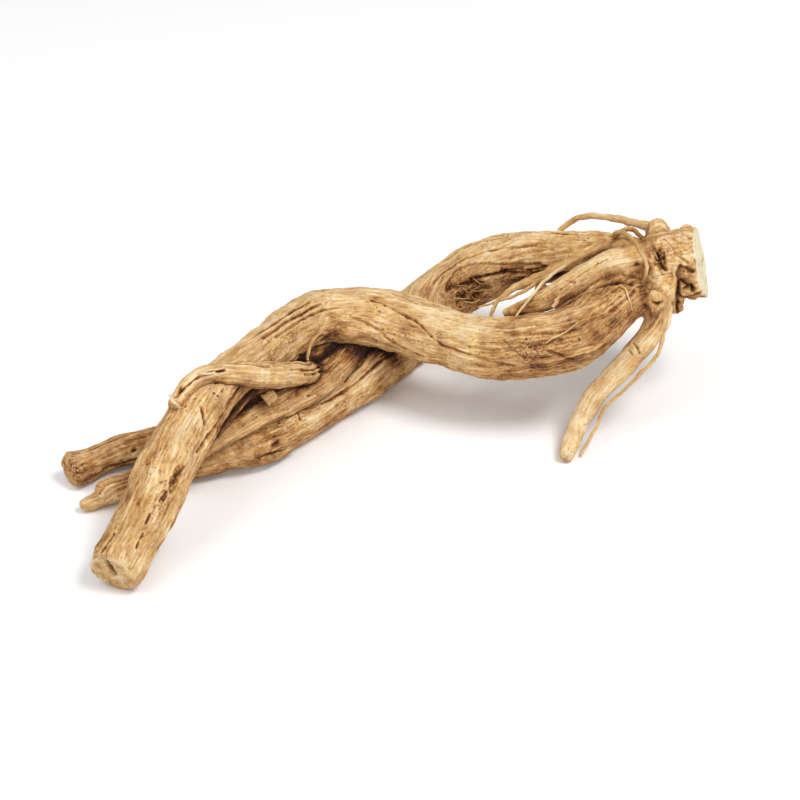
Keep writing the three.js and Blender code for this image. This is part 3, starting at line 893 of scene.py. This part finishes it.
def dry_material(name, light, warmth, along=0.06, across=0.9, fine=3.2, contrast=1.0):
    """Dry root skin: how light and how warm it is, and how close its fibres lie."""
    material = bpy.data.materials.new(name)
    material.use_nodes = True
    tree = material.node_tree
    shader = tree.nodes["Principled BSDF"]
    kept = {
        word: node(tree, "Attribute", attribute_name=word).outputs["Fac"]
        for word in ("weave", "crease_shade", "crack_shade", "worn", "rough", "sawn", "total_shade_and_stain")
    }
    grain = node(tree, "Attribute", attribute_name="grain").outputs["Vector"]
    metres = node(tree, "TexCoord").outputs["Object"]
    spot = node(tree, "VectorMath", {0: metres, 3: 1 / MM}, operation="SCALE").outputs["Vector"]

    def laid(a, b):
        """The fibres, this close along the limb and across it."""
        made = node(tree, "Group", node_tree=fibres)
        for key, value in (("Grain", grain), ("Spot", spot), ("Weave", kept["weave"])):
            tree.links.new(value, made.inputs[key])
        made.inputs["Along"].default_value = a
        made.inputs["Across"].default_value = b
        return made.outputs

    coarse, close = laid(along, across), laid(along * 3, fine)
    dashes = between(tree, laid(0.5, 2.6)["Streak"], 0.6, 0.68)
    mottle = noise(tree, spot, 0.13, 3.0)
    patches = noise(tree, spot, 0.45, 4.0, 0.65)
    strengths = (0.8, 0.6, 0.9, 0.5)
    # The lightness carries the painted shade: darker in creases, on undersides, in nooks and on
    # painted shade patches, and near black in cracks.
    tone = total(
        tree, light - 0.5 * contrast * sum(strengths),
        *zip((coarse["Streak"], close["Streak"], mottle, patches), (s * contrast for s in strengths)),
        (kept["crease_shade"], -0.2), (kept["worn"], 0.2), (kept["total_shade_and_stain"], -0.3),
        (coarse["Line"], -0.1), (close["Line"], -0.06), (kept["rough"], -0.06), (dashes, -0.14),
    )
    tone = total(tree, tone, (maths(tree, "MULTIPLY", kept["crack_shade"], tone), -0.95))
    tone = maths(tree, "MAXIMUM", tone, 0.0)
    warm = total(tree, warmth - 1.0, (noise(tree, spot, 0.2, 2.0), 2.0))
    warm = maths(tree, "MINIMUM", maths(tree, "MAXIMUM", warm, 0.0), 1.0)
    bark = node(tree, "Group", node_tree=skin_colour)
    tree.links.new(tone, bark.inputs["Light"])
    tree.links.new(warm, bark.inputs["Warmth"])
    wood = node(tree, "Group", node_tree=sawn_wood)
    tree.links.new(grain, wood.inputs["Grain"])
    tree.links.new(spot, wood.inputs["Spot"])
    bare = maths(tree, "MULTIPLY", kept["sawn"], maths(tree, "SUBTRACT", 1.0, kept["crack_shade"]))
    colour = mixed(tree, bare, bark.outputs["Color"], wood.outputs["Color"])
    relief = total(
        tree, 0.0, (coarse["Streak"], 0.6), (close["Streak"], 0.45), (coarse["Line"], -0.2),
        (close["Line"], -0.08), (patches, 0.25),
    )
    relief = mixed(tree, bare, relief, wood.outputs["Height"])
    bump = node(tree, "Bump", {"Strength": 0.9, "Distance": 0.0005, "Height": relief})
    tree.links.new(colour, shader.inputs["Base Color"])
    tree.links.new(bump.outputs["Normal"], shader.inputs["Normal"])
    tree.links.new(between(tree, tone, 0.0, 1.0, 0.95, 0.72), shader.inputs["Roughness"])
    shader.inputs["Specular IOR Level"].default_value = 0.25
    return material


def saw_block(point, facing):
    """A block that takes off everything beyond a cut."""
    half, deep = 30, 60  # mm
    corners = np.array(list(product((-half, half), (-half, half), (0, deep))), float)
    faces = [[0, 1, 3, 2], [4, 6, 7, 5], [0, 4, 5, 1], [2, 3, 7, 6], [0, 2, 6, 4], [1, 5, 7, 3]]
    return standing("saw", mesh_of("saw", [(corners, faces)]), point - MIDDLE, facing, axis="Z")


saws = [saw_block(SAW_POINT, SAW_FACING), saw_block(TIP_POINT, TIP_FACING)]

# A root that starts as a stump on the lower leg's far side and lies in shade between the legs.
shaded_root = Limb([
    (107, -3, 39, 4.8), (98, -0.5, 33, 4.4), (88, -0.8, 30.6, 4.2), (79, -1.4, 31.5, 3.7),
    (72.5, -1.2, 35, 3), (68.5, -4.2, 41, 2.4), (66, -8.5, 43, 2.2),
])
# Its middle, which lies deep between the legs, is painted dark all round as shade.
shaded_root.stain_and_shade = [(40, 0, 18, 400, 1.3)]
BODY_LIMBS = [
    crown, upper_leg, lower_leg, long_fork, short_fork, prop_root, flat_root, shaded_root,
]
GROWN_TOGETHER = [
    (crown, upper_leg), (crown, lower_leg), (crown, prop_root), (upper_leg, prop_root),
    (lower_leg, long_fork), (lower_leg, short_fork), (long_fork, short_fork),
    (lower_leg, shaded_root),
]
knots = [(crown, *knot) for knot in KNOTS]
knots += [(flat_root, 50, -11, 41, 2.4), (lower_leg, -33, 20, 17, 2.6)]
shapes = [tube(*crown.rings(40, crown_swell))]
shapes += [tube(*limb.rings(36, plain_swell(i))) for i, limb in enumerate(BODY_LIMBS[1:])]
shapes += [ball(np.array(place) - MIDDLE, radius) for _, *place, radius in knots]
shapes += [ball(np.array(place) - MIDDLE, radius) for *place, radius in CROWN_LUMPS]
body_skin = Skin("root_body", shapes, saws)
for saw in saws:
    bpy.data.objects.remove(saw)
weathered(body_skin, BODY_LIMBS, GROWN_TOGETHER, knots)
dry_bark = dry_material("dry_bark", light=0.7, warmth=0.5)
body_skin.piece("root_body", triangles=190000, material=dry_bark)

# The side roots have the same dry bark as the legs that they grew along. The clinging root comes
# up behind the lower leg and lies on the upper leg's skin, and the inner root and its thin
# neighbours fill the hollow between the two legs.
clinging_root = Limb([
    (0, 34, 10, 3), (-6, 29, 14, 3.4), (-11, 24.5, 19, 3.8), (-16.4, 19.4, 24.2, 4.1),
    (-21.5, 14.8, 28.4, 4.3), (-31, 12.5, 33.2, 4.5), (-43, 11, 38.2, 4.2), (-55.7, 12.7, 43.2, 3.6),
    (-65, 13.7, 43.9, 3.1), (-77.3, 10, 38.8, 2.7),
], blunt=1.6)
clinging_root.shrinking = (0.4, 0.3, 0.2, 0.1, 0.0)
clinging_root.furrows = [
    (1.2, 0.4, [(92, -9), (85.3, -38), (79.6, -50), (72.6, -40)]),
    (0.8, 0.5, [(58, 16), (50, 10), (44, 4), (38, -10), (30, -14)]),
    (0.8, 0.5, [(72, 20), (64, 8), (56, -18)]),
    (0.9, 0.4, [(46, -40), (36, -52), (28, -50)]),
    (0.9, 0.4, [(40, -70), (28, -76), (18, -70)]),
    (1.4, 0.9, [(89, 0), (91, -14)]),
]
clinging_root.worn = [
    (77, -57, 2.4, 9, 1.4), (91, -30, 1.8, 60, 1.2), (48, -30, 12, 24, 0.2), (84, -10, 10, 50, 0.6),
]
inner_root = Limb([
    (15, 31, 19.5, 3.6), (6.4, 26.6, 21.6, 4.6), (-2, 22, 21.6, 5.4), (-14, 17, 21.4, 5.6),
    (-28, 14.2, 21, 5.4), (-42, 13, 21, 5.2), (-55, 12.5, 19, 4.6), (-66, 12, 15, 3.4),
    (-74, 13, 11, 2.4),
])
# It is painted a little darker as shade, and its thick end, under the upper leg, near black as the
# shadow there.
inner_root.shade = 0.35
inner_root.stain_and_shade = [(8, 0, 10, 400, 2.0)]
# The inner strand and the hidden root are painted dark all over as the shade in the deep hollow
# between the legs.
inner_strand = Limb([
    (-26, 19, 26, 3.4), (-36, 17.5, 26.5, 3.8), (-46, 16.5, 26.5, 3.8), (-56, 15.5, 25, 3.2),
    (-66, 14, 21, 2.4),
])
inner_strand.shade = 1.0
hidden_root = Limb([(4, 30, 25, 2.6), (-6, 26.5, 27, 3.2), (-13, 24, 28, 3.2), (-22, 22, 31, 2.8)])
hidden_root.shade = 1.3
# A thin strip of bark that has come loose from the upper leg's side.
bark_strip = Limb([
    (-41, 13.5, 33, 1.5), (-50, 10, 29.8, 1.4), (-61, 5.4, 26.8, 1.3), (-72, 2, 23.5, 1.0),
], blunt=1.0)
# It is painted dark as shade, for lying low beside the upper leg.
bark_strip.shade = 1.3
side_limbs = [clinging_root, inner_root, inner_strand, hidden_root, bark_strip]
side_shapes = [tube(*limb.rings(28, plain_swell(i))) for i, limb in enumerate(side_limbs, 4)]
side_skin = Skin("side_roots", side_shapes)
weathered(side_skin, side_limbs, [], beside=[upper_leg, lower_leg])
side_skin.piece("side_roots", triangles=120000, material=dry_bark)


# The rootlets are thin dry side roots, smooth and wiry: one arches over the crown's shoulder, a few
# trail into the eye of the legs, and one hangs beside the prop root down to the table.
THREAD_SHIFT = 70  # mm between the grain of one and that of the next


class Threads:
    """Several thin closed tubes gathered into one mesh, with what their finish needs to know."""

    def __init__(self):
        self.shapes, self.grain, self.worn, self.shade = [], [], [], []

    def add(self, limb, rings, ends, along, across, worn, shade):
        """Adds a tube: the places of its points along the limb and across it give its grain."""
        corners, faces = tube(rings, ends)
        corners[:, 2] = np.maximum(corners[:, 2], 0)
        self.shapes.append((corners, faces))
        along = np.append(np.repeat(along, rings.shape[1]), [0, limb.length])
        across = np.vstack([across, np.zeros((2, 2))])
        self.grain.append(np.column_stack([along + THREAD_SHIFT * len(self.shapes), across]))
        self.worn.append(np.full(len(corners), worn))
        self.shade.append(np.full(len(corners), shade))

    def piece(self, name, material):
        """All of them as a finished piece, in metres."""
        mesh = mesh_of(name, [(corners * MM, faces) for corners, faces in self.shapes])
        keep(mesh, "grain", np.vstack(self.grain))
        keep(mesh, "worn", np.concatenate(self.worn))
        # Their darkening is painted shade, kept where the limbs keep their painted shade and stains.
        keep(mesh, "total_shade_and_stain", np.concatenate(self.shade))
        keep(mesh, "weave", np.ones(len(mesh.vertices)))
        as_piece(name, mesh, material)


def rootlet(threads, stations, seed, sides=12, knobs=0.16, sway=0.25, worn=0.3, shade=0.0):
    """A thin root through the stations: knobs are its swellings, sway its small bends in mm."""
    limb = Limb(stations, blunt=0.6, spacing=0.4)
    along = np.arange(len(limb.line)) * limb.step
    steady = np.minimum(np.minimum(along, limb.length - along) / 3, 1)[:, None]
    straight = np.column_stack([along / 5, along * 0, along * 0])
    bends = np.stack([wander(straight + seed + 7 * i) for i in range(3)], axis=1)
    limb.line[:, :3] += sway * bends * steady
    limb.ahead = unit(np.gradient(limb.line[:, :3], axis=0))

    def swell(a, turn):
        """Its outline: swellings along it, small crimps and long ridges."""
        a, turn = (part.ravel() for part in np.broadcast_arrays(a, turn))
        ring = np.column_stack([a / 2.6, np.cos(turn) * 0.7, np.sin(turn) * 0.7]) + seed
        crimp = np.column_stack([a / 0.7, np.cos(turn) * 0.4, np.sin(turn) * 0.4]) + seed + 9
        ridge = np.column_stack([a / 9, np.cos(turn) * 2.2, np.sin(turn) * 2.2]) + seed + 4
        reach = 1 + knobs * wander(ring) + 0.4 * knobs * wander(crimp) + 0.5 * knobs * wander(ridge)
        return reach.reshape(len(along), sides)

    turn = np.tile(np.arange(sides) * 2 * np.pi / sides, len(along))
    reach = np.repeat(limb.line[:, 3], sides)
    across = np.column_stack([reach * np.cos(turn), reach * np.sin(turn)])
    threads.add(limb, *limb.rings(sides, swell), along, across, worn, shade)


# The arching one: thick and wrinkled where it leaves the crown, then thin and round.
rootlets = Threads()
rootlet(rootlets, [
    (113, -20, 57, 2.4), (110.5, -14.5, 57.8, 1.9), (108, -9, 57.4, 1.6), (105, 2, 55.8, 1.3),
    (101, 11.5, 53.2, 1.2), (97, 15.5, 50, 1.1), (93, 17, 46.5, 1),
], 3, worn=0.6)
# A pale one that lies round the crown's shoulder like a collar.
rootlet(rootlets, [
    (100.5, -3.5, 50.5, 1.0), (99.4, -8.5, 56.3, 0.9), (98, -15, 59.2, 0.8),
    (96.6, -21.6, 59.5, 0.8), (95.4, -26, 58.3, 0.8), (95, -28.8, 56.8, 0.75),
    (94.3, -30.8, 54.9, 0.75), (93.6, -31.6, 52, 0.7), (93.6, -31, 49, 0.6),
], 14, sway=0.2)
# A thin dark one that arches beside the collar.
rootlet(rootlets, [
    (98.5, -7, 52, 0.8), (99.6, -10.3, 57.4, 0.8), (101.7, -11.4, 58.4, 0.9),
    (103.2, -13, 58.4, 0.9), (103.4, -15.5, 57.6, 0.9), (102, -19.8, 58.2, 0.9),
    (100, -24.6, 58.8, 0.8), (98.6, -27, 57.6, 0.7),
], 17, knobs=0.2, sway=0.2, worn=0.1, shade=0.6)
# Those that trail from the neck over the flat root and into the eye.
rootlet(rootlets, [
    (106, -6, 51, 2.2), (96, -3.5, 50, 1.7), (88, -3, 48.4, 1.6), (79, -2, 46, 1.5),
    (70, -1.2, 44, 1.5), (62, 0, 43, 1.3), (53, 0.5, 40, 0.9), (47, -3, 37.5, 0.7),
    (42, -8, 35, 0.6),
], 21, knobs=0.24, sway=0.5, worn=0.2, shade=0.2)
rootlet(rootlets, [
    (103, -9, 52, 1.3), (94, -6.5, 51, 1.1), (83, -5, 48.6, 1.0), (74, -4.5, 46.5, 0.9),
    (66, -4.5, 44.6, 0.8), (57, -2.5, 41.2, 0.55), (49, 2, 38.4, 0.4), (46, 4, 37, 0.3),
], 33, knobs=0.3, sway=0.5, shade=0.3)
rootlet(rootlets, [
    (101, -3, 49, 1.2), (91, -0.5, 47.2, 1.1), (80, 1.4, 44.5, 1.0), (71, 2.2, 42.6, 0.8),
    (64, 3.4, 41, 0.6),
], 44, knobs=0.3, sway=0.6, shade=0.5)
# A pale sliver of bark, and splinters beside the neck of the upper leg.
rootlet(rootlets, [
    (80, -4.5, 47.6, 0.5), (72, -7.2, 48.4, 0.6), (63, -10.5, 48, 0.6), (54, -13.5, 45, 0.5),
    (47.5, -15.6, 42.4, 0.4),
], 52, sides=8, knobs=0.12, sway=0.2, worn=1.5)
rootlet(rootlets, [
    (80.6, -32, 52.4, 0.25), (81.4, -34.2, 51.9, 0.32), (80.9, -37.4, 49.6, 0.32),
    (81.2, -39.4, 45.4, 0.22),
], 58, sides=8, knobs=0.2, sway=0.4, worn=1.0)
# The one that hangs from the crown beside the prop root, and a short one that starts beside it.
rootlet(rootlets, [
    (98, -40, 42, 1.2), (94.4, -42.4, 40, 1.0), (91.9, -44.1, 35.9, 0.85), (89.8, -46.4, 31.5, 0.75),
    (86, -47.4, 27.4, 0.7), (80.6, -46.6, 22.6, 0.7), (73, -45.5, 16.8, 0.65), (66.2, -45, 12.6, 0.65),
    (62, -46.6, 8, 0.6), (56.8, -48.6, 4.6, 0.6), (52, -50.2, 0.8, 0.5),
], 65, sides=10, knobs=0.25, sway=0.35, worn=0.5)
rootlet(rootlets, [
    (99, -40, 41, 0.9), (96.4, -42.6, 39, 0.8), (94, -44, 36, 0.6), (92.6, -44, 33.4, 0.4),
], 71, sides=10, knobs=0.3, worn=1.0)
# A fine fibre that lies across the upper leg.
rootlet(rootlets, [
    upper_leg.spot(47.5, -56, 0.2, 0.2), upper_leg.spot(44, -49, 0.6, 0.25),
    upper_leg.spot(40.5, -41, 0.6, 0.25), upper_leg.spot(37, -33, 0.3, 0.2),
], 77, sides=8, knobs=0.1, sway=0.3, worn=1.2)
# Hair roots in the hollow of the lower leg, each from one place on it to another in a low arch.
hairs = np.random.default_rng(12)
for start, end, bow in [
    ((79, -60), (74, -88), 1.2), ((74, -88), (66, -104), 1.0), ((77, -70), (70, -84), 1.4),
    ((84, -70), (77, -96), 1.0), ((81, -92), (73, -112), 1.3), ((86, -84), (79, -100), 0.8),
    ((71, -66), (64, -92), 1.1), ((76, -96), (69, -118), 1.5), ((88, -96), (80, -112), 0.9),
]:
    along = (start[0] + end[0]) / 2 + hairs.uniform(-2, 2)
    around = (start[1] + end[1]) / 2 + hairs.uniform(-5, 5)
    thin = hairs.uniform(0.16, 0.28)
    seed = int(hairs.integers(100, 900))
    rootlet(rootlets, [
        lower_leg.spot(*start, -0.6, thin), lower_leg.spot(along, around, 0.6 * bow, thin),
        lower_leg.spot(*end, -0.4, thin * 0.7),
    ], seed, sides=6, knobs=0.15, sway=0.5, worn=hairs.uniform(0, 0.6), shade=0.4)
rootlets.piece("rootlets", dry_material(
    "rootlet_skin", light=0.66, warmth=0.75, along=0.14, across=1.6, fine=4.0, contrast=0.8,
))


# The shreds are loose bark: strips that dried, curled and lifted off the wood but still hang on.
def shred(threads, stations, seed, thick=0.5, curl=0.35, worn=0.6, shade=0.0):
    """A strip of bark: x, y, z, half its width, and how far its outside is rolled from up."""
    limb = Limb([row[:4] for row in stations], blunt=0.4, spacing=0.4)
    count, columns = len(limb.line), 9  # points along it, and across each of its two sides
    along = np.arange(count) * limb.step
    shares, rolls = np.linspace(0, 1, len(stations)), [row[4] for row in stations]
    roll = np.radians(np.interp(np.linspace(0, 1, count), shares, rolls))[:, None]
    out = np.cos(roll) * limb.up + np.sin(roll) * limb.side
    wide = np.cross(limb.ahead, out)
    ragged = np.column_stack([along / 2, along * 0, along * 0]) + seed
    half = limb.line[:, 3] * (1 + 0.3 * wander(ragged))
    lift = 0.3 * wander(ragged / 2 + 5)
    part = np.linspace(-1, 1, columns)
    loop = np.append(part, part[::-1])
    sides = len(loop)
    face = np.append(np.ones(columns), -np.ones(columns)) * thick / 2
    spread = half[:, None] * loop
    wrinkle = 0.12 * wander(np.column_stack([
        np.repeat(along / 3, sides), np.tile(loop, count) * 1.4, np.full(sides * count, seed),
    ])).reshape(count, sides)
    rise = lift[:, None] + face * (1 - 0.8 * loop ** 6) + wrinkle - curl * half[:, None] * loop ** 2
    rings = limb.line[:, None, :3] + spread[:, :, None] * wide[:, None]
    rings = rings + rise[:, :, None] * out[:, None]
    across = np.column_stack([spread.ravel(), rise.ravel()])
    threads.add(limb, rings, (rings[0].mean(0), rings[-1].mean(0)), along, across, worn, shade)


shreds = Threads()
# One arches over the dark hollow beside the clinging root.
shred(shreds, [
    (-19, 17, 32, 0.9, -60), (-17.5, 18.4, 35, 1.0, -50), (-14.5, 20.5, 37, 1.0, -30),
    (-10, 22.6, 37, 0.9, -40), (-6, 24, 35, 0.6, -50),
], 4, thick=0.6, worn=0.7)
# A flap under the lower leg's near edge.
shred(shreds, [
    lower_leg.spot(181, -112, 0.4, 1.0, -100), lower_leg.spot(187, -118, 0.9, 1.9, -104),
    lower_leg.spot(194, -116, 1.1, 2.2, -104), lower_leg.spot(201, -112, 0.9, 1.7, -104),
    lower_leg.spot(207, -108, 0.3, 0.8, -100),
], 9, thick=0.6, worn=0.2, shade=0.4)
# A square chip that stands on the inner root.
shred(shreds, [
    (-37, 9.5, 29, 1.9, -40), (-39.3, 9, 29.1, 2.2, -40), (-41.8, 8.6, 28.6, 2.0, -40),
], 15, thick=0.8, curl=0.05, worn=0.1, shade=0.2)
# A pale splinter in the crown's hollow.
shred(shreds, [
    (99.6, -28, 59.1, 0.15, -40), (98.7, -30.2, 58, 0.3, -40), (98.3, -32, 57, 0.2, -50),
], 22, thick=0.4, curl=0.1, worn=0.1)
# Cream chips of bark on the clinging root's bend and on its end.
shred(shreds, [
    (-64.8, 12.0, 47.2, 0.7, -30), (-62.4, 10.6, 46.9, 1.6, -35), (-59.6, 10.2, 46.7, 0.4, -40),
], 35, thick=0.6, curl=0.2, worn=2.8)
shred(shreds, [
    (-76.6, 11.2, 43.6, 0.6, -30), (-76.4, 8.5, 42, 1.8, -40), (-75.2, 7.0, 40.3, 0.8, -60),
], 38, thick=0.7, curl=0.2, worn=2.8)
# Ragged ends of bark at the flat root's tip.
shred(shreds, [
    (66, -17.5, 46.4, 0.5, -30), (63, -20, 46, 0.7, -30), (59.5, -21.5, 45.4, 0.6, -40),
], 27, worn=0.9)
shred(shreds, [
    (71, -18, 47, 0.4, 10), (66.5, -19.5, 47.5, 0.6, 0), (62, -19.4, 46.6, 0.4, 0),
], 31, thick=0.4)
shreds.piece("bark_shreds", dry_material(
    "bark_shreds", light=0.6, warmth=0.55, along=0.1, across=1.6, fine=4.0,
))


# The table is a plain pale sheet that the root lies on, far wider than the root so that its edge
# is never near. It has a dull finish.
EDGE = 4  # m, from the middle
table_mesh = bpy.data.meshes.new("table")
table_mesh.from_pydata(
    [(-EDGE, -EDGE, 0), (EDGE, -EDGE, 0), (EDGE, EDGE, 0), (-EDGE, EDGE, 0)], [], [(0, 1, 2, 3)],
)
white = bpy.data.materials.new("white_table")
white.use_nodes = True
dull = white.node_tree.nodes["Principled BSDF"].inputs
dull["Base Color"].default_value = (0.95, 0.95, 0.95, 1)
dull["Roughness"].default_value = 0.9
table_mesh.materials.append(white)
in_scene("table", table_mesh)

# Soft studio light: a pale room, a lamp above and in front, and two wide weaker ones, one above
# and behind at the left and one low in front at the left.
world = bpy.data.worlds.new("studio")
world.use_nodes = True
room = world.node_tree.nodes["Background"].inputs
room["Color"].default_value = (1, 1, 1, 1)
room["Strength"].default_value = 0.5
bpy.context.scene.world = world


def soft_light(name, place, size, power):
    """A round lamp that points at the root, its size in metres and its power in watts."""
    lamp = bpy.data.lights.new(name, "AREA")
    lamp.shape = "DISK"
    lamp.size = size
    lamp.energy = power
    standing(name, lamp, place, -Vector(place))


soft_light("key", (0.35, -0.5, 1.1), 0.5, 8.8)
soft_light("top", (-0.6, 0.3, 1.0), 1.0, 3.6)
soft_light("front", (-0.7, -0.9, 0.5), 0.9, 4)

# The camera stands in front and to the left, looking down at the root.
camera_data = bpy.data.cameras.new("camera")
camera_data.lens = 90
camera_data.sensor_width = 36
camera_data.clip_start, camera_data.clip_end = 0.01, 20
elevation, azimuth = np.radians(35), np.radians(-35)
DISTANCE = 0.7  # m
AIM = Vector((0.0007, -0.0101, 0.022))  # m, the place in the middle of the view
back = Vector((
    np.sin(azimuth) * np.cos(elevation), -np.cos(azimuth) * np.cos(elevation), np.sin(elevation),
))
bpy.context.scene.camera = standing("camera", camera_data, AIM + back * DISTANCE, -back)
bpy.context.scene.view_settings.view_transform = "Standard"
